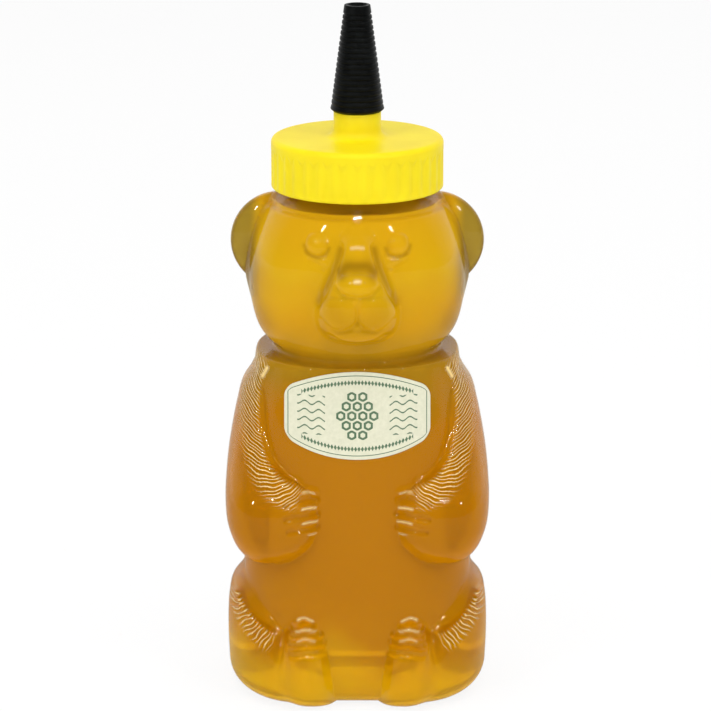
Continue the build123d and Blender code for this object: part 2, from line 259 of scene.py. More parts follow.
SNOUT_SHARES = [
    (0.00, 0.36, -0.36, -0.640, 1.0, 2.1),
    (0.05, 0.70, -0.70, -0.820, 1.0, 2.1),
    (0.13, 0.92, -0.92, -0.915, 1.0, 2.1),
    (0.24, 1.00, -1.00, -0.962, 1.0, 2.1),
    (0.36, 0.97, -0.97, -0.982, 1.0, 2.1),
    (0.49, 0.87, -0.87, -0.990, 1.0, 2.1),
    (0.62, 0.72, -0.72, -0.965, 1.0, 2.1),
    (0.75, 0.57, -0.57, -0.880, 1.0, 2.1),
    (0.88, 0.43, -0.43, -0.770, 1.0, 2.1),
    (1.00, 0.30, -0.30, -0.620, 1.0, 2.1),
]

# Moulded detail, painted highlights and painted shade on the bear's front, seen from the front: (half of
# the width, height) of points on the right half, which is repeated on the left.
# Grooves: points, width, depth
GROOVES = [
    ([(9.6, 52.3), (13.0, 52.6), (16.6, 52.0)], 0.55, 0.55),
    ([(9.4, 48.8), (13.0, 49.0), (16.6, 48.6)], 0.55, 0.55),
    ([(9.6, 45.6), (13.0, 45.7), (16.0, 45.4)], 0.55, 0.50),
    ([(8.6, 18.6), (12.0, 19.2), (15.6, 18.4)], 0.50, 0.55),
    ([(8.0, 16.6), (12.0, 17.0), (16.2, 16.2)], 0.50, 0.55),
    ([(7.8, 14.6), (12.0, 14.9), (15.8, 14.0)], 0.50, 0.40),
    ([(0.0, 102.4), (0.0, 99.6), (0.0, 96.8)], 0.60, 0.35),
    ([(0.0, 96.9), (2.4, 94.9), (5.2, 94.5), (8.2, 96.6)], 0.60, 0.40),
    ([(3.9, 113.2), (5.2, 109.0), (7.4, 104.0), (9.4, 99.5)], 0.55, 0.85),
    ([(0.0, 103.1), (3.0, 103.4), (5.2, 105.0)], 0.45, 0.45),
    ([(0.0, 91.0), (3.5, 91.3), (6.6, 92.6)], 0.60, 0.40),
    ([(7.2, 110.7), (9.4, 110.3), (12.0, 111.4)], 0.40, 0.40),
    ([(7.6, 107.7), (9.4, 108.6), (11.2, 109.5)], 0.55, 0.40),
]
# Domes: middle, half width, half height, rise
DOMES = [
    ((0.0, 105.9), 5.2, 2.9, 1.30),
    ((4.7, 98.6), 4.8, 4.4, 1.00),
    ((0.0, 92.9), 5.6, 1.9, 0.60),
    ((9.5, 113.2), 2.7, 2.7, 1.20),
    ((12.6, 20.6), 3.4, 1.3, 0.55),
    ((13.0, 54.2), 4.2, 1.4, 0.55),
]
# Painted highlight streaks: short bright edges of the fingers, toes, brow and shoulders, painted light on
# the plastic and raised a little in its bump, as points, width, strength
PAINTED_HIGHLIGHT_STREAKS = [
    ([(9.9, 50.4), (11.6, 50.8), (13.0, 50.8)], 0.24, 0.70),
    ([(9.6, 47.1), (11.4, 47.5), (12.8, 47.4)], 0.24, 0.70),
    ([(10.2, 53.8), (11.8, 54.2), (13.0, 54.3)], 0.24, 0.55),
    ([(10.0, 44.1), (11.4, 44.3)], 0.22, 0.50),
    ([(10.0, 19.8), (12.4, 20.5), (14.6, 19.8)], 0.24, 0.45),
    ([(10.2, 17.8), (12.4, 18.4), (14.2, 17.8)], 0.22, 0.35),
    ([(10.6, 21.9), (12.6, 22.6), (14.2, 22.0)], 0.26, 0.60),
    ([(21.4, 81.6), (22.6, 79.2)], 0.40, 0.90),
    ([(0.0, 113.6), (1.4, 113.4)], 0.30, 0.50),
    ([(0.0, 107.0), (0.5, 107.0)], 0.40, 0.60),
]
# Painted shade: where the honey's colour is darkened to stand for shade, in creases and at the head's
# sides, as points, width, strength
PAINTED_SHADES = [
    ([(3.9, 112.4), (5.0, 109.0), (7.2, 104.0), (9.0, 100.0)], 0.90, 0.42),
    ([(0.0, 109.8), (2.4, 109.6), (4.0, 108.2)], 1.40, 0.58),
    ([(0.0, 90.6), (4.5, 91.2), (8.0, 93.6)], 1.60, 0.22),
    ([(6.6, 112.4), (7.4, 110.9), (9.4, 110.2), (11.6, 110.9), (12.4, 112.6)], 0.50, 0.35),
    ([(0.0, 96.5), (3.0, 97.0), (5.0, 98.5)], 4.00, 0.20),
    ([(22.0, 92.0), (24.6, 99.0), (24.8, 106.0)], 2.60, 0.30),
]
# A groove, a painted highlight line or a painted shade line fades out within this many times its width
LINE_REACH = 3
DOME_ROUNDNESS = 0.75
# Fur: the ridge's line, ridge width, ridge rise, band width, stroke pitch, stroke depth, slant
FUR = [
    ([(21.2, 83.6), (23.2, 77.5), (23.8, 71.0), (23.2, 65.2), (21.4, 60.0), (17.6, 56.4), (12.4, 54.6)],
     1.2, 0.85, 5.6, 0.90, 0.20, 0.9),
    ([(29.6, 26.6), (28.0, 23.6), (25.4, 21.0), (22.4, 18.8), (19.0, 17.2)],
     1.1, 0.75, 4.6, 0.85, 0.26, 0.15),
]
FUR_MARGIN = 1.0
FUR_END = 2.5  # the length in which a line's ends fade out
FUR_SIDE = (-12.0, -3.0)  # the depths between which the fur fades out round the sides
FUR_RIDGE_EDGE = (-0.8, 0.2)  # beside the ridge's line, where the strokes begin
FUR_WHOLE_SHARE = 0.4  # of the band's width, past which the strokes fade out
FUR_WANDER = 0.25
FUR_WANDER_ALONG, FUR_WANDER_ACROSS, FUR_WANDER_SLANT = 1.7, 1.3, 0.4

# Colours
WHITE = (1, 1, 1, 1)
CLEAR = (0.985, 0.985, 0.98, 1)
# Painted highlight colour, mixed into the plastic on the fur's crests and the highlight lines
PAINTED_HIGHLIGHT_COLOUR = (0.95, 0.72, 0.30, 1)
# Painted light and shade in the honey's colour: brighter at the base and the head, darker in the torso and
# in a band under the chin
HONEY_PAINTED_LIGHT_COLOURS = [  # by share of the fill's height
    (0.00, (1.00, 0.62, 0.002)),
    (0.08, (1.00, 0.56, 0.002)),
    (0.17, (0.74, 0.30, 0.001)),
    (0.60, (0.72, 0.29, 0.002)),
    (0.69, (0.56, 0.32, 0.016)),
    (0.78, (0.86, 0.46, 0.006)),
    (0.88, (1.00, 0.62, 0.008)),
    (1.00, (1.00, 0.56, 0.010)),
]
# Painted shade: the ears and the head's sides are darkened and greened with this colour
EAR_PAINTED_SHADE_COLOUR = (0.50, 0.33, 0.035, 1)
# Painted shade colour, mixed in along the painted shade lines
PAINTED_SHADE_COLOUR = (0.16, 0.055, 0.001, 1)
HONEY_DEPTH_COLOUR = (0.97, 0.80, 0.20, 1)
HONEY_GLINT = (1.0, 0.7, 0.1, 1)
CAP_COLOURS = [(0.35, (0.76, 0.60, 0.003)), (0.65, (0.82, 0.67, 0.006))]
CAP_GLOW = (1.0, 0.7, 0.1)
TIP_COLOURS = [(0.4, (0.002, 0.0024, 0.0024)), (0.75, (0.005, 0.006, 0.006))]
FOAM_COLOURS = [(0.0, (0.62, 0.61, 0.57)), (0.5, (0.84, 0.83, 0.79))]
PAPER_COLOURS = [(0.3, (0.62, 0.62, 0.46)), (0.7, (0.70, 0.69, 0.53))]
INK_COLOUR = (0.030, 0.115, 0.045, 1)
FLOOR_COLOUR = (0.93, 0.93, 0.93, 1)

# Finishes
GRAIN_HEIGHT = 0.0002  # of grains and marks, in metres
CREST_HEIGHT = 0.0004
CREST_SHARPNESS = 3.0
CREST_SHARE = 0.7  # of the plastic's ripple, the rest is grain
# How much of the painted highlight colour is mixed in at a full crest
PAINTED_HIGHLIGHT_SHARE = 0.75
WET_GLOSS, DRY_GLOSS, FACE_GLOSS = 0.07, 0.6, 0.013
WET_EDGE = 1.0
GLOSS_FALL = 5.0
HONEY_DRIFT = 0.03
# Where the painted shade of the ears sets in: beside the axis and up from the base, in millimetres
EAR_PAINTED_SHADE_SIDE, EAR_PAINTED_SHADE_HEIGHT = (22.5, 26.0), (94.0, 99.0)
TIP_ROUGHNESS = (0.30, 0.55)
INK_FIBRE, INK_STRENGTH = 0.3, 0.75

# The label's print
RULE_GAP, RULE_HALF_WIDTH = 0.9, 0.10
GARLAND_GAP, GARLAND_HALF_LENGTH = 2.5, 13.2
LOZENGE_PITCH, LOZENGE_HALF_LENGTH, LOZENGE_HALF_HEIGHT = 0.8, 0.38, 0.62
CELL_WIDTH, CELL_ROW, CELL_SLOPE = 2.6, 2.25, 0.866
CELL_EDGE, CELL_LINE = 0.82, 0.26
COMB_REACH = 5.6
COMB_SHIFT = 10 * CELL_WIDTH  # keeps what is counted in whole cells above zero
WAVE_TURNS, WAVE_HEIGHT, WAVE_HALF_PITCH, WAVE_LINE = 1.9, 0.42, 0.95, 0.17
WAVE_SHIFT = 20.0
WAVES_HALF_HEIGHT, WAVES_SIDE = 4.6, (7.6, 14.2)

# Studio: the floor in millimetres, the lamps and the camera in metres
FLOOR_HALF_WIDTH = 2500.0
FLOOR_PLACES = (-1600.0, -300.0, 300.0, 1500.0)
BACKDROP_RADIUS, BACKDROP_TOP = 900.0, 2600.0
FLOOR_STEPS = 17
FLOOR_SHOWN_SHARE = 0.88
# Rays that a gloss or the honey has turned find floor and world darker on the camera's side: from
# and to this far behind, with this much light at each
FLOOR_BEND_RANGE = (-0.1, 0.6, 0.35, 1.0)
WORLD_BEND_RANGE = (0.0, 0.8, 0.08, 1.0)
WORLD_LIGHT = 0.5
# Lamps: name, place, width, height, watts, whether it shows in glosses
LAMPS = [
    ("key_left", (-0.85, -0.45, 0.45), 0.5, 0.9, 2.0, False),
    ("key_right", (0.85, -0.45, 0.45), 0.5, 0.9, 2.0, False),
    ("top", (0.0, -0.25, 1.0), 0.7, 0.5, 3.7, False),
    ("back_left", (-0.70, 0.75, 0.55), 0.5, 0.7, 1.6, False),
    ("back_right", (0.70, 0.75, 0.55), 0.5, 0.7, 1.6, False),
    ("glint_left", (-0.55, -0.70, 0.65), 0.035, 0.14, 1.2, True),
    ("glint_right", (0.55, -0.70, 0.65), 0.035, 0.14, 1.2, True),
    ("glint_top", (0.0, -0.75, 0.85), 0.12, 0.035, 1.6, True),
]
LAMP_AIM = (0.0, 0.0, 0.09)
CAMERA_PLACE, CAMERA_AIM = (0.0, -0.900, 0.32617), (0.0, 0.0, 0.08071)
CAMERA_SENSOR, CAMERA_LENS = 36.0, 196.02
PHOTO_WIDTH, PHOTO_AXIS_SHIFT = 711, -1.8  # in pixels


def share_rows(shares, rises):
    """The table's values at each height, on a smooth curve through its rows, held past its ends."""
    table = np.array(shares)
    rises = np.clip(np.asarray(rises, float), table[0, 0], table[-1, 0])
    upper = np.clip(np.searchsorted(table[:, 0], rises), 1, len(table) - 1)
    lower = upper - 1
    below, above = table[np.maximum(lower - 1, 0)], table[np.minimum(upper + 1, len(table) - 1)]
    start, end = table[lower], table[upper]
    gap = end[:, :1] - start[:, :1]
    t = (rises[:, None] - start[:, :1]) / gap
    slope_0 = (end - below) / (end[:, :1] - below[:, :1]) * gap
    slope_1 = (above - start) / (above[:, :1] - start[:, :1]) * gap
    values = ((2 * t ** 3 - 3 * t ** 2 + 1) * start + (t ** 3 - 2 * t ** 2 + t) * slope_0
              + (3 * t ** 2 - 2 * t ** 3) * end + (t ** 3 - t ** 2) * slope_1)
    return [column[:, None] for column in values[:, 1:].T]


def centred_reach(half_width, half_depth, squareness, turns):
    """How far superellipses on the axis reach in each direction."""
    return (np.abs(np.cos(turns) / half_width) ** squareness
            + np.abs(np.sin(turns) / half_depth) ** squareness) ** (-1 / squareness)


def side_reach(left, right, front, back, squareness, turns):
    """How far superellipses beside the axis reach in each direction; 0 where they aren't met."""
    half_width, half_depth = (right - left) / 2, (back - front) / 2
    middle_x, middle_y = (left + right) / 2, (front + back) / 2
    across, along = np.cos(turns), np.sin(turns)

    def outside(reach):
        return (np.abs((reach * across - middle_x) / half_width) ** squareness
                + np.abs((reach * along - middle_y) / half_depth) ** squareness - 1)

    far = 2 * (np.abs(middle_x) + np.abs(middle_y) + half_width + half_depth) + 0 * turns
    low, high = np.zeros_like(far), far.copy()
    for _ in range(SEARCH_STEPS):
        third = (high - low) / 3
        nearer = outside(low + third) < outside(high - third)
        high = np.where(nearer, high - third, high)
        low = np.where(nearer, low, low + third)
    met = outside(low) <= 0
    near = low
    for _ in range(SEARCH_STEPS):
        middle = (near + far) / 2
        beyond = outside(middle) > 0
        far = np.where(beyond, middle, far)
        near = np.where(beyond, near, middle)
    return np.where(met, near, 0)


def blended(first, second):
    """The larger of two reaches, rounded where the two forms meet."""
    nearness = np.clip(1 - np.abs(first - second) / BLEND, 0, 1)
    return np.maximum(first, second) + BLEND * nearness ** 2 / 4


def limb_reach(shares, base, height, middle, half_width, front_reach, back_reach, levels, turns):
    """A limb's reach at each level and direction; 0 above and below it."""
    rises = (levels - base) / height
    inside = (rises >= shares[0][0]) & (rises <= shares[-1][0])
    reach = np.zeros((len(levels), turns.size))
    if inside.any():
        outer, inner, front, back, squareness = share_rows(shares, rises[inside])
        reach[inside] = side_reach(middle + half_width * inner, middle + half_width * outer,
                                   front_reach * front, back_reach * back, squareness, turns)
    return reach


def body_reach(levels, turns):
    """The body's outline: torso, arms, legs and feet."""
    turns = np.where(np.cos(turns) >= 0, turns, pi - turns)[None, :]
    width, depth, squareness = share_rows(TORSO_SHARES, levels / TORSO_HEIGHT)
    reach = centred_reach(TORSO_HALF_WIDTH * width, TORSO_HALF_DEPTH * depth, squareness, turns)
    for limb in ((ARM_SHARES, 0, TORSO_HEIGHT, 0, ARM_HALF_WIDTH, PAW_REACH, PAW_REACH),
                 (LEG_SHARES, 0, LEG_HEIGHT, 0, LEG_HALF_WIDTH, LEG_REACH, LEG_REACH),
                 (FOOT_SHARES, 0, FOOT_HEIGHT, FOOT_OFFSET, FOOT_HALF_WIDTH, FOOT_REACH, FOOT_REACH)):
        reach = blended(reach, limb_reach(*limb, levels, turns))
    return reach


def head_reach(levels, turns):
    """The head's outline with its snout, flared a little where the ears join it."""
    folded = np.where(np.cos(turns) >= 0, turns, pi - turns)[None, :]
    width, depth, squareness = share_rows(HEAD_SHARES, (levels - TORSO_HEIGHT) / HEAD_HEIGHT)
    reach = centred_reach(HEAD_HALF_WIDTH * width, HEAD_HALF_DEPTH * depth, squareness, folded)
    snout = limb_reach(SNOUT_SHARES, SNOUT_BOTTOM, SNOUT_HEIGHT, 0, SNOUT_HALF_WIDTH,
                       SNOUT_REACH, -SNOUT_ROOT, levels, folded)
    reach = blended(reach, snout)
    x, y = reach * np.cos(folded), reach * np.sin(folded)
    from_ear = np.hypot(x - EAR_OFFSET, levels[:, None] - EAR_HEIGHT) / EAR_RADIUS
    beside_ear = np.abs(y - EAR_SET_BACK) / (EAR_THICKNESS / 2)
    gap = (from_ear ** EAR_SQUARENESS + beside_ear ** EAR_SQUARENESS) ** (1 / EAR_SQUARENESS) - 1
    nearness = np.clip(1 - np.abs(gap) * EAR_THICKNESS / 2 / EAR_FLARE_WIDTH, 0, 1)
    return reach + EAR_FLARE * nearness ** 2


def smooth_line(points, steps=10):
    """A curve through the points, as many short steps."""
    points = np.array(points, float)
    ends = np.vstack([2 * points[0] - points[1], points, 2 * points[-1] - points[-2]])
    t = np.linspace(0, 1, steps, endpoint=False)[:, None]
    pieces = []
    for first, start, end, last in zip(ends[:-3], ends[1:-2], ends[2:-1], ends[3:]):
        square, cube = 2 * first - 5 * start + 4 * end - last, 3 * start - first - 3 * end + last
        pieces.append((2 * start + (end - first) * t + square * t ** 2 + cube * t ** 3) / 2)
    return np.vstack(pieces + [points[-1:]])


def line_frame(x, z, line):
    """Each point's distance from the line, its place along it and signed distance beside it, and the
    line's length."""
    best = np.full(x.shape, np.inf)
    along, across = np.zeros(x.shape), np.zeros(x.shape)
    run = 0.0
    for start, end in zip(line[:-1], line[1:]):
        step = end - start
        length = hypot(*step)
        t = np.clip(((x - start[0]) * step[0] + (z - start[1]) * step[1]) / length ** 2, 0, 1)
        off_x, off_z = x - start[0] - t * step[0], z - start[1] - t * step[1]
        gap = np.hypot(off_x, off_z)
        nearer = gap < best
        best = np.where(nearer, gap, best)
        along = np.where(nearer, run + t * length, along)
        across = np.where(nearer, gap * np.sign(step[0] * off_z - step[1] * off_x), across)
        run += length
    return best, along, across, run


def eased(values, low, high):
    """0 below the low value, 1 above the high one, and smooth between."""
    t = np.clip((values - low) / (high - low), 0, 1)
    return t * t * (3 - 2 * t)


def near_line(x, z, line, margin):
    """Which points lie in the line's box with that margin round it."""
    return ((x > line[:, 0].min() - margin) & (x < line[:, 0].max() + margin)
            & (z > line[:, 1].min() - margin) & (z < line[:, 1].max() + margin))


def fur_relief(x, y, z):
    """The fur's rise at points of the front, the number of the stroke there and its strength."""
    half = np.abs(x)
    rise, stroke, strength = np.zeros(x.shape), np.zeros(x.shape), np.zeros(x.shape)
    for points, width, height, band, pitch, depth, slant in FUR:
        line = smooth_line(points)
        here = near_line(half, z, line, band + FUR_MARGIN) & (y < 0)
        gap, along, across, run = line_frame(half[here], z[here], line)
        ends = eased(along, 0, FUR_END) * (1 - eased(along, run - FUR_END, run))
        ends = ends * (1 - eased(y[here], *FUR_SIDE))
        ridge = np.exp(-(gap / width) ** 2) * ends
        outer = eased(across, *FUR_RIDGE_EDGE) * (1 - eased(across, band * FUR_WHOLE_SHARE, band)) * ends
        wander = FUR_WANDER * np.sin(along * FUR_WANDER_ALONG)
        wander = wander * np.sin(across * FUR_WANDER_ACROSS + along * FUR_WANDER_SLANT)
        number = (along + across * slant + wander) / pitch
        rise[here] += height * ridge + depth * np.sin(tau * number) * outer
        stroke[here], strength[here] = number, outer
    return rise, stroke, strength


def line_nearness(half, y, z, points, width):
    """Which points of the front lie near a line, and how near: 1 on it, and 0 far beside it."""
    line = smooth_line(points)
    here = near_line(half, z, line, LINE_REACH * width) & (y < 0)
    gap = line_frame(half[here], z[here], line)[0]
    return here, np.exp(-(gap / width) ** 2)


def marks(x, y, z, lines):
    """How strongly the given lines mark points of the front; each has its points, width and strength."""
    mark = np.zeros(x.shape)
    for points, width, strength in lines:
        here, nearness = line_nearness(np.abs(x), y, z, points, width)
        mark[here] = np.maximum(mark[here], strength * nearness)
    return mark


def relief(x, y, z):
    """How far the moulded detail stands out of the smooth form, at points of its front."""
    half = np.abs(x)
    rise = np.zeros(x.shape)
    for points, width, depth in GROOVES:
        here, nearness = line_nearness(half, y, z, points, width)
        rise[here] -= depth * nearness
    for (middle_x, middle_z), half_width, half_height, height in DOMES:
        gap = ((half - middle_x) / half_width) ** 2 + ((z - middle_z) / half_height) ** 2
        rise += np.where(y < 0, height * np.clip(1 - gap, 0, 1) ** DOME_ROUNDNESS, 0)
    return rise + fur_relief(x, y, z)[0]


def columns():
    """Directions round the axis, closer together over the bear's front."""
    front = np.linspace(-pi, 0, FRONT_COLUMNS, endpoint=False)
    back = np.linspace(0, pi, BACK_COLUMNS, endpoint=False)
    return np.concatenate([front, back])


def ring_grid(reach, levels, turns):
    """The grid's points from reaches and levels, both as rings by columns."""
    levels = np.broadcast_to(np.asarray(levels, float).reshape(len(reach), -1), reach.shape)
    return np.stack([reach * np.cos(turns), reach * np.sin(turns), levels], axis=-1)


def circle_rings(profile, turns):
    """Round rings from a profile of (radius, height) points."""
    profile = np.array(profile, float)
    return ring_grid(np.repeat(profile[:, :1], turns.size, axis=1), profile[:, 1], turns)


def quarter_turn(steps):
    """The angles of a quarter circle."""
    return np.linspace(0, pi / 2, steps)


def rounded_edge(radius, top, rounding, steps):
    """A profile's points round an outer edge, from the side to the top."""
    return [(radius - rounding * (1 - cos(step)), top - rounding * (1 - sin(step)))
            for step in quarter_turn(steps)]


def filleted_foot(radius, foot, rounding, steps):
    """A profile's points in the fillet at an upright side's foot, from its outer end to the side."""
    return [(radius + rounding * (1 - sin(step)), foot + rounding * (1 - cos(step)))
            for step in quarter_turn(steps)]


def base_rings(turns, outline):
    """Rings of the base: the dome pressed up in its middle and its flat rim."""
    radius = (PUSH_UP_RADIUS ** 2 + PUSH_UP_DEPTH ** 2) / (2 * PUSH_UP_DEPTH)
    dome = [(out, PUSH_UP_DEPTH - radius + (radius ** 2 - out ** 2) ** 0.5)
            for out in PUSH_UP_RADIUS * PUSH_UP_SHARES]
    rings = [circle_rings(dome, turns)]
    for share in FLAT_SHARES:
        flat = PUSH_UP_RADIUS + (outline - HEEL_RADIUS - PUSH_UP_RADIUS) * share
        rings.append(ring_grid(flat, [0.0], turns))
    return rings


def torso_rings(turns):
    """Rings of the body from its heel to its shoulder's edge."""
    levels = np.arange(0, TORSO_HEIGHT - SHOULDER_RADIUS, LEVEL_STEP)
    heel = HEEL_RADIUS * (1 - np.cos(quarter_turn(HEEL_STEPS)))
    levels = np.unique(np.concatenate([heel, levels[levels > HEEL_RADIUS]]))
    reach = body_reach(levels, turns)
    under = np.clip(HEEL_RADIUS - levels, 0, None)[:, None]
    reach = reach - HEEL_RADIUS + np.sqrt(HEEL_RADIUS ** 2 - under ** 2)
    return ring_grid(reach, levels, turns)


def shoulder_rings(turns):
    """Rings over the shoulder's edge and inward to the crease under the head."""
    top = body_reach(np.array([TORSO_HEIGHT]), turns)
    foot = head_reach(np.array([TORSO_HEIGHT + CREASE_RADIUS]), turns)
    places = rounded_edge(top, TORSO_HEIGHT, SHOULDER_RADIUS, SHOULDER_STEPS)
    places += [((top - SHOULDER_RADIUS) * (1 - share) + (foot + CREASE_RADIUS) * share, TORSO_HEIGHT)
               for share in FLAT_SHARES]
    places += filleted_foot(foot, TORSO_HEIGHT, CREASE_RADIUS, CREASE_STEPS)[:-1]
    return [ring_grid(reach, [height], turns) for reach, height in places]


def bear_rings(turns):
    """The bear's outside as rings, from the middle of its base to the foot of its neck."""
    levels = np.arange(TORSO_HEIGHT + CREASE_RADIUS, HEAD_TOP, LEVEL_STEP)
    levels = np.append(levels[:-1], HEAD_TOP)
    return np.concatenate(base_rings(turns, body_reach(np.array([0.0]), turns))
                          + [torso_rings(turns)] + shoulder_rings(turns)
                          + [ring_grid(head_reach(levels, turns), levels, turns)])


def grid_normals(grid):
    """Outward normals of a grid of rings that close round the axis."""
    round_axis = np.roll(grid, -1, axis=1) - np.roll(grid, 1, axis=1)
    upwards = np.gradient(grid, axis=0)
    normals = np.cross(round_axis, upwards)
    return normals / np.maximum(np.linalg.norm(normals, axis=-1, keepdims=True), LEAST_LENGTH)


def new_mesh(name, points, faces):
    """A mesh in metres from points in millimetres."""
    mesh = bpy.data.meshes.new(name)
    mesh.from_pydata((np.array(points) * MM).tolist(), [], faces)
    mesh.update()
    return mesh


def grid_mesh(name, grid, closed_ends=True):
    """A smooth mesh from a grid of rings, each closed round the axis, with its ends filled."""
    rings, count = grid.shape[:2]
    points = grid.reshape(-1, 3)
    start = (np.arange(rings - 1)[:, None] * count + np.arange(count)).ravel()
    after = (np.arange(rings - 1)[:, None] * count + (np.arange(count) + 1) % count).ravel()
    quads = np.stack([start, after, after + count, start + count], axis=1)
    faces = [quads.tolist()]
    if closed_ends:
        low, high = grid[0].mean(axis=0), grid[-1].mean(axis=0)
        points = np.vstack([points, low, high])
        around = np.arange(count)
        following = (around + 1) % count
        last = (rings - 1) * count
        bottom = np.stack([following, around, np.full(count, rings * count)], axis=1)
        top = np.stack([last + around, last + following, np.full(count, rings * count + 1)], axis=1)
        faces += [bottom.tolist(), top.tolist()]
    mesh = new_mesh(name, points, [face for group in faces for face in group])
    mesh.shade_smooth()
    return mesh


def add_object(name, data):
    """An object in the scene for the mesh, lamp or camera."""
    thing = bpy.data.objects.new(name, data)
    bpy.context.scene.collection.objects.link(thing)
    return thing


def combined(piece, other, operation):
    """The piece joined with or cut by the other one, which goes."""
    modifier = piece.modifiers.new(operation.lower(), "BOOLEAN")
    modifier.operation = operation
    modifier.solver = "MANIFOLD"
    modifier.object = other
    depsgraph = bpy.context.evaluated_depsgraph_get()
    mesh = bpy.data.meshes.new_from_object(piece.evaluated_get(depsgraph))
    piece.modifiers.clear()
    piece.data = mesh
    bpy.data.objects.remove(other)
    mesh.shade_smooth()
    return piece


def lens_grid(middle, radius, half_thickness, squareness, rows=40, count=160):
    """A rounded disc that faces -Y, as rings round its own axis."""
    turn = np.linspace(-pi / 2, pi / 2, rows)[1:-1]
    out = radius * np.cos(turn) ** (2 / squareness)
    through = half_thickness * np.sign(np.sin(turn)) * np.abs(np.sin(turn)) ** (2 / squareness)
    around = np.linspace(0, tau, count, endpoint=False)
    x = middle[0] + out[:, None] * np.cos(around)
    z = middle[2] + out[:, None] * np.sin(around)
    y = middle[1] - through[:, None] + 0 * x
    return np.stack([x, y, z], axis=-1)


def with_ears(piece, inset):
    """The piece joined with both ears, drawn in by the inset."""
    for side in (1, -1):
        middle = (side * EAR_OFFSET, EAR_SET_BACK, EAR_HEIGHT)
        ear = lens_grid(middle, EAR_RADIUS - inset, EAR_THICKNESS / 2 - inset, EAR_SQUARENESS)
        combined(piece, add_object("ear", grid_mesh("ear", ear)), "UNION")
    return piece


def screw_ridge(name, root, crest, start, turned):
    """A closed helical ridge of tapered section that fades out at both ends."""
    steps = int(THREAD_STEPS_A_TURN * THREAD_TURNS)
    foot, top = THREAD_ROOT_WIDTH / 2, THREAD_CREST_WIDTH / 2
    sunk = root - (crest - root) * THREAD_SUNK_SHARE
    rings = []
    for step in range(steps + 1):
        share = step / steps
        fade = min(1, share / THREAD_FADE_SHARE, (1 - share) / THREAD_FADE_SHARE)
        turn = tau * THREAD_TURNS * share + turned
        height = start + THREAD_PITCH * THREAD_TURNS * share
        tip = root + (crest - root) * fade
        section = [(sunk, -foot), (root, -foot), (tip, -top), (tip, top), (root, foot), (sunk, foot)]
        rings.append([(out * cos(turn), out * sin(turn), height + up) for out, up in section])
    grid = np.array(rings)
    if crest > root:
        grid = grid[:, ::-1]
    return add_object(name, grid_mesh(name, grid))


def neck_rings(turns):
    """The neck's outside, from its foot to its mouth."""
    above_foot, under_rounding = NECK_RING_GAPS
    profile = [(NECK_RADIUS, HEAD_TOP), (NECK_RADIUS, HEAD_TOP + above_foot),
               (NECK_RADIUS, MOUTH_HEIGHT - NECK_ROUNDING - under_rounding)]
    return circle_rings(profile + rounded_edge(NECK_RADIUS, MOUTH_HEIGHT, NECK_ROUNDING, NECK_STEPS), turns)


def skin_inset(levels):
    """How far the wall's inner face is drawn in: thin where honey wets it, whole above the honey."""
    return SKIN + (WALL - SKIN) * eased(levels, FILL_HEIGHT - SKIN_CHANGE, FILL_HEIGHT)


def bear_surface():
    """The bear's outside with its moulded detail, and its normals."""
    turns = columns()
    smooth = bear_rings(turns)
    normals = grid_normals(smooth)
    x, y, z = np.moveaxis(smooth, -1, 0)
    outside = smooth + relief(x, y, z)[..., None] * normals
    return turns, outside, grid_normals(outside)


def vertex_places(piece):
    """The x, y and z of the piece's vertices."""
    points = np.empty(len(piece.data.vertices) * 3, dtype=np.float32)
    piece.data.vertices.foreach_get("co", points)
    return (points.reshape(-1, 3) / MM).T.astype(float)


def add_field(piece, name, values):
    """Stores a value for each vertex, for the material to read."""
    field = piece.data.attributes.new(name, "FLOAT", "POINT")
    field.data.foreach_set("value", np.asarray(values, dtype=np.float32).ravel())


def clear_bottle(turns, outside, normals):
    """The bottle: one wall with its neck and thread."""
    shell = grid_mesh("bear_shell", np.concatenate([outside, neck_rings(turns)]))
    shell = with_ears(add_object("bear_shell", shell), 0)
    combined(shell, screw_ridge("thread", NECK_RADIUS, THREAD_RADIUS, THREAD_START, 0), "UNION")

    inside = outside - skin_inset(outside[..., 2])[..., None] * normals
    inside = inside[outside[:, 0, 2] < HEAD_TOP - WALL]
    bore = circle_rings([(NECK_BORE_RADIUS, height) for height in
                         (HEAD_TOP - WALL, HEAD_TOP, MOUTH_HEIGHT + BORE_OVERRUN)], turns)
    hollow = add_object("hollow", grid_mesh("hollow", np.concatenate([inside, bore])))
    with_ears(hollow, SKIN)
    combined(shell, hollow, "DIFFERENCE")
    places = vertex_places(shell)
    _, stroke, strength = fur_relief(*places)
    # The fur's strokes and the highlight lines, which shape the plastic's bump and its painted highlights
    add_field(shell, "fur_stroke", stroke)
    add_field(shell, "fur_strength", strength)
    add_field(shell, "painted_highlight_streak", marks(*places, PAINTED_HIGHLIGHT_STREAKS))
    return shell


def honey_body(outside, normals):
    """The honey, up to its level."""
    inset = skin_inset(outside[..., 2]) + SKIN
    body = outside - inset[..., None] * normals
    body = body[body[..., 2].max(axis=1) < FILL_HEIGHT - HONEY_RIM_GAP]
    tops = []
    for share in HONEY_TOP_SHARES:
        top = body[-1] * share
        top[:, 2] = FILL_HEIGHT
        tops.append(top[None])
    honey = add_object("honey_body", grid_mesh("honey_body", np.concatenate([body] + tops)))
    with_ears(honey, 2 * SKIN)
    # Where the honey's colour gets painted shade
    add_field(honey, "shade", marks(*vertex_places(honey), PAINTED_SHADES))
    return honey


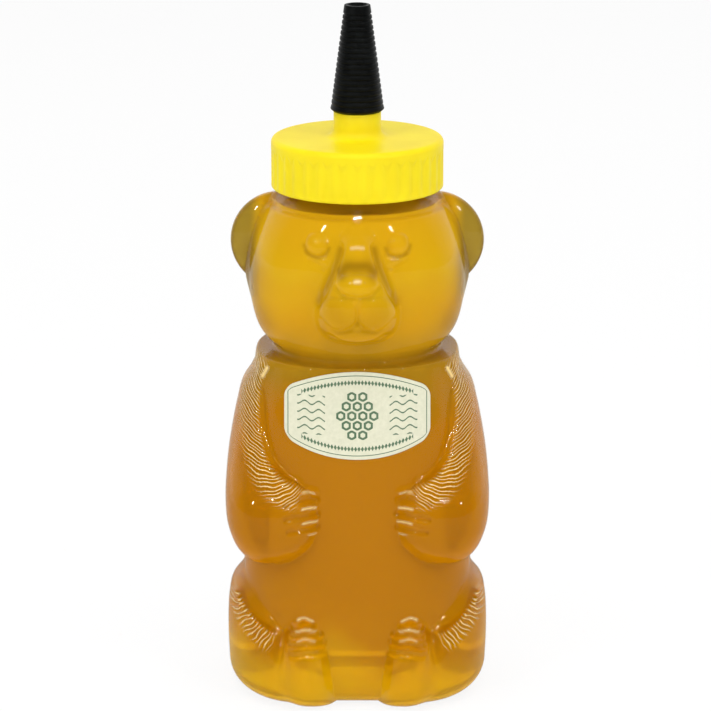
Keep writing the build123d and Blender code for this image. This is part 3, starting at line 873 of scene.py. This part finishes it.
def label_outline(across):
    """Half of the label's height at places across it, with arched edges and rounded corners."""
    half_width, half_side, half_height = LABEL_WIDTH / 2, LABEL_SIDE_HEIGHT / 2, LABEL_HEIGHT / 2
    arch = half_height - half_side
    radius = (half_width ** 2 + arch ** 2) / (2 * arch)
    half = half_height - radius + np.sqrt(radius ** 2 - across ** 2)
    corner = np.clip(np.abs(across) - half_width + LABEL_CORNER_RADIUS, 0, LABEL_CORNER_RADIUS)
    return half - LABEL_CORNER_RADIUS + np.sqrt(np.clip(LABEL_CORNER_RADIUS ** 2 - corner ** 2, 0, None))


def belly_depth(x, z):
    """How far forward the belly's surface is at points seen from the front."""
    y = np.full(x.shape, -TORSO_HALF_DEPTH)
    for _ in range(BELLY_STEPS):
        turns = np.arctan2(y, x)
        width, depth, squareness = (share[:, 0] for share in share_rows(TORSO_SHARES, z / TORSO_HEIGHT))
        reach = centred_reach(TORSO_HALF_WIDTH * width, TORSO_HALF_DEPTH * depth, squareness, turns)
        y = -np.sqrt(reach ** 2 - x ** 2)
    return y


def paper_label():
    """The label: a thin sheet on the belly, which stores the places across and up for its print."""
    across = LABEL_WIDTH / 2 * np.sin(np.linspace(-pi / 2, pi / 2, LABEL_COLUMNS)) * LABEL_END_SHARE
    up = np.linspace(-1, 1, LABEL_ROWS)
    half = label_outline(across)
    x = np.repeat(across[:, None], up.size, axis=1)
    rise = half[:, None] * up[None, :]
    z = LABEL_CENTRE_HEIGHT + rise
    depth = belly_depth(x.ravel(), z.ravel()).reshape(x.shape)
    front = np.stack([x, depth - LABEL_SEAT_GAP - LABEL_THICKNESS, z], axis=-1)
    back = np.stack([x, depth - LABEL_SEAT_GAP, z], axis=-1)
    rows, count = x.shape
    points = np.vstack([front.reshape(-1, 3), back.reshape(-1, 3)])
    index = np.arange(rows * count).reshape(rows, count)
    corners = [index[:-1, :-1], index[1:, :-1], index[1:, 1:], index[:-1, 1:]]
    quads = np.stack(corners, axis=-1).reshape(-1, 4)
    edge = np.concatenate([index[:-1, 0], index[-1, :-1], index[:0:-1, -1], index[0, :0:-1]])
    following = np.roll(edge, -1)
    shift = rows * count
    rim = np.stack([following, edge, edge + shift, following + shift], axis=1)
    faces = quads.tolist() + (quads[:, ::-1] + shift).tolist() + rim.tolist()
    edge_gap = np.minimum(half[:, None] - np.abs(rise), LABEL_WIDTH / 2 - np.abs(x))
    label = add_object("paper_label", new_mesh("paper_label", points, faces))
    for name, values in (("across", x), ("up", rise), ("edge_gap", edge_gap)):
        add_field(label, name, np.tile(values.ravel(), 2))
    return label


def cap_side(turns):
    """The cap's side: its ribs, which run out in arches under the edge."""
    rib_top = CAP_TOP - RIB_TOP_GAP
    start, end = RIB_RUN_OUT
    wave = (1 - np.abs(np.cos(turns * RIB_COUNT / 2)) ** RIB_FULLNESS)[None, :]
    below = np.linspace(CAP_BOTTOM + CAP_RIM_RADIUS, rib_top - end - RIB_LEVEL_GAP, RIB_LEVELS)
    above = np.linspace(rib_top - end, CAP_TOP - CAP_EDGE_RADIUS, RIB_RUN_OUT_LEVELS)
    levels = np.concatenate([below, above])[:, None]
    arch = rib_top + RIB_ARCH * wave
    run_out = 1 - eased(levels + 0 * wave, arch - start, arch - end)
    foot = eased(levels - CAP_BOTTOM, *RIB_FOOT)
    return ring_grid(CAP_RADIUS - RIB_DEPTH * (1 - wave) * run_out * foot, levels, turns)


def cap_rings():
    """The cap with its spout as rings: from the bore's end down inside, up outside and over."""
    turns = np.linspace(0, tau, RIB_COUNT * RIB_COLUMNS, endpoint=False)
    under = [(SPOUT_BORE_TIP_RADIUS, SPOUT_TOP - SPOUT_BORE_SEAM), (SPOUT_BORE_BASE_RADIUS, CAP_CEILING),
             (CAP_BORE_RADIUS - CAP_BORE_CHAMFER, CAP_CEILING),
             (CAP_BORE_RADIUS, CAP_CEILING - CAP_BORE_CHAMFER),
             (CAP_BORE_RADIUS, CAP_BOTTOM + CAP_MOUTH_CHAMFER),
             (CAP_BORE_RADIUS + CAP_MOUTH_CHAMFER, CAP_BOTTOM)]
    under += [(CAP_RADIUS - inward, CAP_BOTTOM + up) for inward, up in CAP_RIM_POINTS]
    over = rounded_edge(CAP_RADIUS, CAP_TOP, CAP_EDGE_RADIUS, CAP_EDGE_STEPS)[1:]
    over += [(CAP_RADIUS * share, CAP_TOP) for share in CAP_PLATE_SHARES]
    over += filleted_foot(COLLAR_RADIUS, CAP_TOP, COLLAR_FILLET, CAP_EDGE_STEPS)
    over += [(COLLAR_RADIUS, COLLAR_TOP - SPOUT_CHAMFER), (COLLAR_RADIUS - SPOUT_CHAMFER, COLLAR_TOP),
             (SPOUT_BASE_RADIUS, COLLAR_TOP),
             (SPOUT_TIP_RADIUS + SPOUT_CHAMFER_TAPER, SPOUT_TOP - SPOUT_CHAMFER),
             (SPOUT_TIP_RADIUS - SPOUT_CHAMFER, SPOUT_TOP),
             (SPOUT_BORE_TIP_RADIUS + SPOUT_BORE_CHAMFER, SPOUT_TOP),
             (SPOUT_BORE_TIP_RADIUS, SPOUT_TOP - SPOUT_BORE_CHAMFER)]
    return np.concatenate([circle_rings(under, turns), cap_side(turns), circle_rings(over, turns)])


def ribbed_cap():
    """The screw cap: ribbed skirt, edge, collar and hollow spout in one piece, and its thread."""
    rings = cap_rings()
    mesh = grid_mesh("ribbed_cap", np.concatenate([rings, rings[:1]]), closed_ends=False)
    start = CAP_BOTTOM + THREAD_ROOT_WIDTH / 2
    turned = tau * (start - THREAD_START) / THREAD_PITCH + pi
    crest = NECK_RADIUS + THREAD_CLEARANCE
    return add_object("ribbed_cap", mesh), screw_ridge("cap_thread", CAP_BORE_RADIUS, crest, start, turned)


def tip_profile():
    """The sealer tip's section: inside from the bottom up, its dished end, and the rings outside."""
    slope = (TIP_BASE_RADIUS - TIP_TOP_RADIUS) / (TIP_TOP - COLLAR_TOP)
    cavity_top = SPOUT_TOP + TIP_END_GAP
    inward, up = TIP_CHAMFER_POINT
    points = [(TIP_INNER_RADIUS, cavity_top), (SPOUT_TIP_RADIUS + TIP_FIT_GAP, cavity_top),
              (SPOUT_TIP_RADIUS + TIP_FIT_GAP, SPOUT_TOP), (SPOUT_BASE_RADIUS + TIP_FIT_GAP, COLLAR_TOP),
              (TIP_BASE_RADIUS - TIP_CHAMFER, COLLAR_TOP), (TIP_BASE_RADIUS - inward, COLLAR_TOP + up),
              (TIP_BASE_RADIUS, COLLAR_TOP + TIP_CHAMFER)]
    last = TIP_TOP - RING_TOP_GAP
    first = last - RING_PITCH * (RING_COUNT - 1)
    for height in np.arange(first - RING_PITCH / 2, last + RING_PITCH / 2, RING_PITCH / RING_LEVELS):
        groove = max(0, cos(tau * (height - first) / RING_PITCH)) ** RING_SHARPNESS
        points.append((TIP_BASE_RADIUS - slope * (height - COLLAR_TOP) - RING_DEPTH * groove, height))
    points += rounded_edge(TIP_TOP_RADIUS, TIP_TOP, TIP_ROUNDING, TIP_STEPS)
    dish = TIP_TOP - DISH_DEPTH
    return points + [(DISH_RADIUS + DISH_CHAMFER, TIP_TOP), (DISH_RADIUS, TIP_TOP - DISH_CHAMFER),
                     (DISH_RADIUS - DISH_TAPER, dish), (TIP_INNER_RADIUS, dish)]


def sealer():
    """The pull-off sealer tip."""
    turns = np.linspace(0, tau, TIP_COLUMNS, endpoint=False)
    return add_object("sealer", grid_mesh("sealer", circle_rings(tip_profile(), turns)))


class Nodes:
    """Short calls that add and join the nodes of one tree."""

    def __init__(self, tree):
        self.tree = tree
        self.tree.nodes.clear()

    def add(self, kind, settings=None, **inputs):
        node = self.tree.nodes.new("ShaderNode" + kind)
        for key, value in (settings or {}).items():
            setattr(node, key, value)
        for key, value in inputs.items():
            self.put(node, key.replace("_", " "), value)
        return node

    def put(self, node, socket, value):
        target = node.inputs[int(socket)] if socket.isdigit() else node.inputs[socket]
        if isinstance(value, bpy.types.NodeSocket):
            self.tree.links.new(value, target)
        elif isinstance(value, bpy.types.Node):
            self.tree.links.new(value.outputs[0], target)
        else:
            target.default_value = value

    def math(self, operation, first, second=0.0, third=0.0):
        node = self.add("Math", {"operation": operation}, **{"0": first, "1": second, "2": third})
        return node.outputs[0]

    def own_place(self):
        """The piece's own coordinates."""
        return self.add("TexCoord").outputs["Object"]

    def split(self, vector):
        """The vector's X, Y and Z."""
        return self.add("SeparateXYZ", Vector=vector).outputs

    def noise(self, scale, detail=3.0, roughness=0.5):
        """Noise over the piece's own coordinates."""
        node = self.add("TexNoise", Vector=self.own_place(), Scale=scale, Detail=detail,
                        Roughness=roughness)
        return node.outputs["Fac"]

    def field(self, name):
        """A value stored on the mesh."""
        return self.add("Attribute", {"attribute_name": name}).outputs["Fac"]

    def carried(self, value, low, high, to_low=0.0, to_high=1.0, kind="LINEAR"):
        """The value carried from one range to another, and held past its ends."""
        node = self.add("MapRange", {"interpolation_type": kind}, Value=value, From_Min=low, From_Max=high,
                        To_Min=to_low, To_Max=to_high)
        return node.outputs["Result"]

    def ramp(self, value, stops):
        node = self.add("ValToRGB")
        elements = node.color_ramp.elements
        while len(elements) < len(stops):
            elements.new(0.5)
        for element, (place, colour) in zip(elements, stops):
            element.position = place
            element.color = (*colour, 1)
        self.put(node, "Fac", value)
        return node.outputs["Color"]

    def mixed_colour(self, share, first, second):
        return self.add("Mix", {"data_type": "RGBA"}, **{"0": share, "6": first, "7": second}).outputs[2]

    def mixed_shader(self, share, first, second):
        return self.add("MixShader", **{"0": share, "1": first, "2": second})

    def bump(self, height, strength, distance):
        return self.add("Bump", Height=height, Strength=strength, Distance=distance).outputs["Normal"]

    def finish(self, surface, volume=None, kind="Material"):
        out = self.tree.nodes.new("ShaderNodeOutput" + kind)
        self.put(out, "Surface", surface)
        if volume:
            self.put(out, "Volume", volume)


def new_material(name):
    """A material and the calls that fill it."""
    material = bpy.data.materials.new(name)
    material.use_nodes = True
    return material, Nodes(material.node_tree)


def clear_plastic():
    """Thin clear plastic: what it covers shows straight through, under a soft gloss, with painted
    highlights on the fur's stroke crests and the highlight lines.
    """
    material, nodes = new_material("clear_plastic")
    math = nodes.math
    # The fur's stroke crests and the highlight lines: they raise the bump and say where the painted
    # highlight goes
    wave = math("SINE", math("MULTIPLY", nodes.field("fur_stroke"), tau))
    crest = math("POWER", math("MAXIMUM", wave, 0.0), CREST_SHARPNESS)
    crest = math("MAXIMUM", math("MULTIPLY", crest, nodes.field("fur_strength")), nodes.field("painted_highlight_streak"))
    grain = math("MULTIPLY", nodes.noise(scale=160, detail=2), 1 - CREST_SHARE)
    height = math("MULTIPLY_ADD", crest, CREST_SHARE, grain)
    ripple = nodes.bump(height, strength=0.35, distance=CREST_HEIGHT)
    gloss = nodes.add("BsdfGlossy", Color=WHITE, Roughness=0.05, Normal=ripple)
    through = nodes.add("BsdfTransparent", Color=CLEAR)
    facing = nodes.add("LayerWeight", Blend=0.5, Normal=ripple).outputs["Facing"]
    # The plastic is glossier in air than where honey wets it
    upward = nodes.split(nodes.own_place())["Z"]
    edge_gloss = nodes.carried(upward, (FILL_HEIGHT - WET_EDGE) * MM, HEAD_TOP * MM, WET_GLOSS, DRY_GLOSS)
    mirrored = math("MULTIPLY_ADD", math("POWER", facing, GLOSS_FALL), edge_gloss, FACE_GLOSS)
    clear = nodes.mixed_shader(mirrored, through, gloss)
    # Painted highlight: a light cream diffuse colour is mixed into the plastic on the fur's stroke crests
    # and along the highlight lines, standing for the lamps' glints
    painted_highlight = nodes.add("BsdfPrincipled", Base_Color=PAINTED_HIGHLIGHT_COLOUR, Roughness=0.25)
    nodes.finish(nodes.mixed_shader(math("MULTIPLY", crest, PAINTED_HIGHLIGHT_SHARE), clear, painted_highlight))
    return material


def honey_material():
    """Amber honey: refracts and darkens with depth; its colour carries painted light and shade by height,
    and painted shade that makes it darker and greener in the ears and darker in creases and at the head's
    sides.
    """
    material, nodes = new_material("honey")
    place = nodes.split(nodes.own_place())
    drift = nodes.math("MULTIPLY_ADD", nodes.noise(scale=45, detail=2), HONEY_DRIFT, -HONEY_DRIFT / 2)
    share = nodes.math("DIVIDE", nodes.math("ADD", place["Z"], drift), FILL_HEIGHT * MM)
    beside = nodes.math("ABSOLUTE", place["X"])
    # Where the ears and the head's sides get painted shade
    in_ear_shade = [nodes.carried(value, low * MM, high * MM, kind="SMOOTHSTEP")
              for value, (low, high) in ((beside, EAR_PAINTED_SHADE_SIDE), (place["Z"], EAR_PAINTED_SHADE_HEIGHT))]
    # Painted light and shade by height: a brighter base and head, a darker torso and a darker band under
    # the chin
    colour = nodes.ramp(share, HONEY_PAINTED_LIGHT_COLOURS)
    colour = nodes.mixed_colour(nodes.math("MULTIPLY", *in_ear_shade), colour, EAR_PAINTED_SHADE_COLOUR)
    # Painted shade along the lines in creases, under the nose and at the head's sides
    shaded = nodes.mixed_colour(nodes.field("shade"), colour, PAINTED_SHADE_COLOUR)
    surface = nodes.add("BsdfPrincipled", Base_Color=shaded, Roughness=0.07, IOR=1.36,
                        Specular_Tint=HONEY_GLINT, Transmission_Weight=0.58, Specular_IOR_Level=0.0)
    nodes.finish(surface, nodes.add("VolumeAbsorption", Color=HONEY_DEPTH_COLOUR, Density=16.0))
    return material


def cap_material():
    """Yellow moulded plastic with a fine satin grain."""
    material, nodes = new_material("cap_plastic")
    grain = nodes.bump(nodes.noise(scale=2200, detail=2), strength=0.10, distance=GRAIN_HEIGHT)
    tone = nodes.ramp(nodes.noise(scale=60, detail=4), CAP_COLOURS)
    nodes.finish(nodes.add("BsdfPrincipled", Base_Color=tone, Normal=grain, Roughness=0.44, IOR=1.5,
                           Specular_IOR_Level=0.22, Subsurface_Weight=0.25,
                           Subsurface_Radius=CAP_GLOW, Subsurface_Scale=0.002))
    return material


def tip_material():
    """Black flexible plastic with light handling marks."""
    material, nodes = new_material("tip_plastic")
    worn = nodes.noise(scale=420, detail=4, roughness=0.6)
    rough = nodes.carried(worn, 0.0, 1.0, *TIP_ROUGHNESS)
    grain = nodes.bump(nodes.noise(scale=2600, detail=2), strength=0.15, distance=GRAIN_HEIGHT)
    nodes.finish(nodes.add("BsdfPrincipled", Base_Color=nodes.ramp(worn, TIP_COLOURS),
                           Roughness=rough, Normal=grain, IOR=1.5, Specular_IOR_Level=0.12))
    return material


def foam_material():
    """White closed-cell foam."""
    material, nodes = new_material("liner_foam")
    cells = nodes.add("TexVoronoi", Vector=nodes.own_place(), Scale=2400.0).outputs["Distance"]
    nodes.finish(nodes.add("BsdfPrincipled", Base_Color=nodes.ramp(cells, FOAM_COLOURS),
                           Roughness=0.75, Normal=nodes.bump(cells, strength=0.35, distance=GRAIN_HEIGHT)))
    return material


def within(nodes, value, middle, half):
    """1 within half a width of the middle."""
    gap = nodes.math("ABSOLUTE", nodes.math("SUBTRACT", value, middle))
    return nodes.math("LESS_THAN", gap, half)


def garland_print(nodes, edge, across):
    """Lozenges along the label's arched edges."""
    math = nodes.math
    turned = math("SUBTRACT", math("PINGPONG", across, LOZENGE_PITCH), LOZENGE_PITCH / 2)
    along = math("DIVIDE", turned, LOZENGE_HALF_LENGTH)
    beside = math("DIVIDE", math("SUBTRACT", edge, GARLAND_GAP), LOZENGE_HALF_HEIGHT)
    lozenge = math("ADD", math("ABSOLUTE", along), math("ABSOLUTE", beside))
    near_middle = math("LESS_THAN", math("ABSOLUTE", across), GARLAND_HALF_LENGTH)
    return math("MULTIPLY", math("LESS_THAN", lozenge, 1.0), near_middle)


def comb_print(nodes, across, up):
    """A comb of six-sided cells in the label's middle."""
    math = nodes.math
    half_cell = CELL_WIDTH / 2
    row = math("ROUND", math("DIVIDE", up, CELL_ROW))
    shifted = math("MULTIPLY_ADD", row, half_cell, math("ADD", across, COMB_SHIFT))
    cell_x = math("ABSOLUTE", math("SUBTRACT", math("MODULO", shifted, CELL_WIDTH), half_cell))
    cell_z = math("ABSOLUTE", math("MULTIPLY_ADD", row, -CELL_ROW, up))
    slope = math("MULTIPLY_ADD", cell_z, CELL_SLOPE, math("MULTIPLY", cell_x, 0.5))
    column = math("FLOOR", math("DIVIDE", shifted, CELL_WIDTH))
    row_start = math("MULTIPLY_ADD", row, half_cell, COMB_SHIFT)
    middle = math("SUBTRACT", math("MULTIPLY_ADD", column, CELL_WIDTH, half_cell), row_start)
    reach = math("MULTIPLY_ADD", math("ABSOLUTE", row), half_cell, math("ABSOLUTE", middle))
    in_comb = math("LESS_THAN", math("MAXIMUM", reach, math("ABSOLUTE", up)), COMB_REACH)
    return math("MULTIPLY", within(nodes, math("MAXIMUM", slope, cell_x), CELL_EDGE, CELL_LINE), in_comb)


def wave_print(nodes, across, up):
    """Wavy lines that flow out from the comb to both sides."""
    math = nodes.math
    side = math("ABSOLUTE", across)
    wave = math("MULTIPLY", math("SINE", math("MULTIPLY", side, WAVE_TURNS)), WAVE_HEIGHT)
    lines = math("PINGPONG", math("ADD", math("ADD", up, wave), WAVE_SHIFT), WAVE_HALF_PITCH)
    flow = math("MULTIPLY", math("LESS_THAN", lines, WAVE_LINE),
                math("LESS_THAN", math("ABSOLUTE", up), WAVES_HALF_HEIGHT))
    near, far = WAVES_SIDE
    beside = math("MULTIPLY", math("GREATER_THAN", side, near), math("LESS_THAN", side, far))
    return math("MULTIPLY", flow, beside)


def label_material():
    """Cream paper with a green border and a plain generic pattern, and no words."""
    material, nodes = new_material("label_paper")
    edge, across, up = nodes.field("edge_gap"), nodes.field("across"), nodes.field("up")
    fibre = nodes.noise(scale=900, detail=4, roughness=0.7)
    printed = within(nodes, edge, RULE_GAP, RULE_HALF_WIDTH)
    for part in (garland_print(nodes, edge, across), comb_print(nodes, across, up),
                 wave_print(nodes, across, up)):
        printed = nodes.math("MAXIMUM", printed, part)
    ink = nodes.math("MULTIPLY", printed, nodes.math("MULTIPLY_ADD", fibre, INK_FIBRE, INK_STRENGTH))
    colour = nodes.mixed_colour(ink, nodes.ramp(fibre, PAPER_COLOURS), INK_COLOUR)
    nodes.finish(nodes.add("BsdfPrincipled", Base_Color=colour, Roughness=0.42,
                           Normal=nodes.bump(fibre, strength=0.08, distance=GRAIN_HEIGHT)))
    return material


def finish_piece(piece, body, node, material):
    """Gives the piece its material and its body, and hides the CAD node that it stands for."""
    piece.data.materials.clear()
    piece.data.materials.append(material)
    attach(piece, body)
    if node:
        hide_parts(node)


def ray_kinds(nodes):
    """1 for rays from the camera, and 1 for rays that a gloss or the honey has turned."""
    light_path = nodes.add("LightPath").outputs
    bent = nodes.math("MAXIMUM", light_path["Is Glossy Ray"], light_path["Is Transmission Ray"])
    return light_path["Is Camera Ray"], bent


def studio_floor():
    """A wide pale floor that runs up into a backdrop far behind, and keeps a soft shadow."""
    line = [(y, 0.0) for y in FLOOR_PLACES]
    for step in quarter_turn(FLOOR_STEPS)[1:]:
        line.append((FLOOR_PLACES[-1] + BACKDROP_RADIUS * sin(step), BACKDROP_RADIUS * (1 - cos(step))))
    line.append((FLOOR_PLACES[-1] + BACKDROP_RADIUS, BACKDROP_TOP))
    points = [(side * FLOOR_HALF_WIDTH, y, z) for y, z in line for side in (-1, 1)]
    faces = [(2 * row, 2 * row + 1, 2 * row + 3, 2 * row + 2) for row in range(len(line) - 1)]
    mesh = new_mesh("studio_floor", points, faces)
    mesh.shade_smooth()
    floor = add_object("studio_floor", mesh)

    material, nodes = new_material("studio_floor")
    lit = nodes.add("BsdfDiffuse", Color=FLOOR_COLOUR)
    straight, bent = ray_kinds(nodes)
    behind = nodes.carried(nodes.split(nodes.own_place())["Y"], *FLOOR_BEND_RANGE)
    shown = nodes.add("Emission", Color=WHITE, Strength=nodes.math("MAXIMUM", straight, behind))
    share = nodes.math("MULTIPLY_ADD", straight, FLOOR_SHOWN_SHARE, bent)
    nodes.finish(nodes.mixed_shader(share, lit, shown))
    mesh.materials.append(material)


def studio_world():
    """Even pale light all round, which shows as white, and in glosses is dim on the camera's side."""
    world = bpy.data.worlds.new("studio_world")
    bpy.context.scene.world = world
    world.use_nodes = True
    nodes = Nodes(world.node_tree)
    straight, bent = ray_kinds(nodes)
    direction = nodes.split(nodes.add("TexCoord").outputs["Generated"])["Y"]
    in_bent = nodes.math("MULTIPLY", bent, nodes.carried(direction, *WORLD_BEND_RANGE))
    lit = nodes.math("MULTIPLY", WORLD_LIGHT, nodes.math("SUBTRACT", 1.0, bent))
    strength = nodes.math("MAXIMUM", nodes.math("MAXIMUM", straight, in_bent), lit)
    nodes.finish(nodes.add("Background", Color=WHITE, Strength=strength), kind="World")


def aimed(thing, place, aim):
    """The lamp or camera, stood at the place and turned to the aim."""
    thing.location = place
    thing.rotation_euler = (Vector(aim) - Vector(place)).to_track_quat("-Z", "Y").to_euler()
    return thing


def softbox(name, place, width, height, power, in_gloss):
    """A soft lamp that faces the bottle, and shows in its gloss and the honey or only lights it."""
    data = bpy.data.lights.new(name, "AREA")
    data.shape = "RECTANGLE"
    data.size, data.size_y = width, height
    data.energy = power
    lamp = aimed(add_object(name, data), place, LAMP_AIM)
    lamp.visible_glossy = in_gloss
    lamp.visible_transmission = in_gloss


def studio_camera():
    """The photograph's view: a long lens a little above the bottle, looking down at it."""
    data = bpy.data.cameras.new("camera")
    data.sensor_width = CAMERA_SENSOR
    data.lens = CAMERA_LENS
    data.shift_x = PHOTO_AXIS_SHIFT / PHOTO_WIDTH
    bpy.context.scene.camera = aimed(add_object("camera", data), CAMERA_PLACE, CAMERA_AIM)


turns, outside, normals = bear_surface()
bottle = clear_bottle(turns, outside, normals)
finish_piece(bottle, "bottle", "bear_bottle", clear_plastic())
finish_piece(honey_body(outside, normals), "bottle", "honey_fill", honey_material())
finish_piece(paper_label(), "bottle", "front_label", label_material())
yellow = cap_material()
cap, cap_thread = ribbed_cap()
finish_piece(cap, "cap", "spout_cap", yellow)
finish_piece(cap_thread, "cap", None, yellow)
finish_piece(sealer(), "tip", "sealer_tip", tip_material())
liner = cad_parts["cap_liner"]
liner.data.materials.clear()
liner.data.materials.append(foam_material())

studio_floor()
studio_world()
for lamp_settings in LAMPS:
    softbox(*lamp_settings)
studio_camera()

bpy.context.scene.view_settings.view_transform = "Standard"
